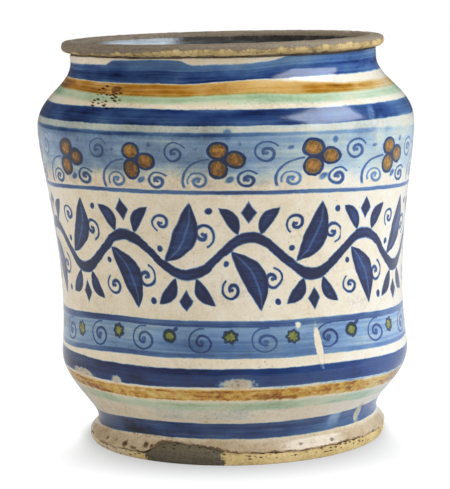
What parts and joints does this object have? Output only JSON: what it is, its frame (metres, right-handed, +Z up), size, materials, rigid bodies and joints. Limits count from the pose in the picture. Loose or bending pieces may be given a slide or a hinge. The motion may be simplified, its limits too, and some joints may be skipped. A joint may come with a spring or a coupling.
{
  "type": "albarello",
  "caption": "Squat waisted earthenware pharmacy jar with a tin-glaze coat, painted bands, a short neck and an open mouth for holding dry drugs.",
  "frame": {"origin": "middle of the foot's standing face", "axes": "+Z up along the jar's turning axis, front of the jar towards -Y, +X to the right as seen from the front"},
  "size_m": [0.155, 0.155, 0.165],
  "materials": {
    "biscuit_clay": "unglazed buff earthenware, matt and slightly gritty",
    "painted_tin_glaze": "glossy opaque cream tin glaze with cobalt, orange and green bands",
    "lining_glaze": "dull dark grey stained glaze"
  },
  "bodies": {
    "root": {"clay_body": "biscuit_clay", "outer_glaze": "painted_tin_glaze", "inner_glaze": "lining_glaze"}
  },
  "joints": []
}
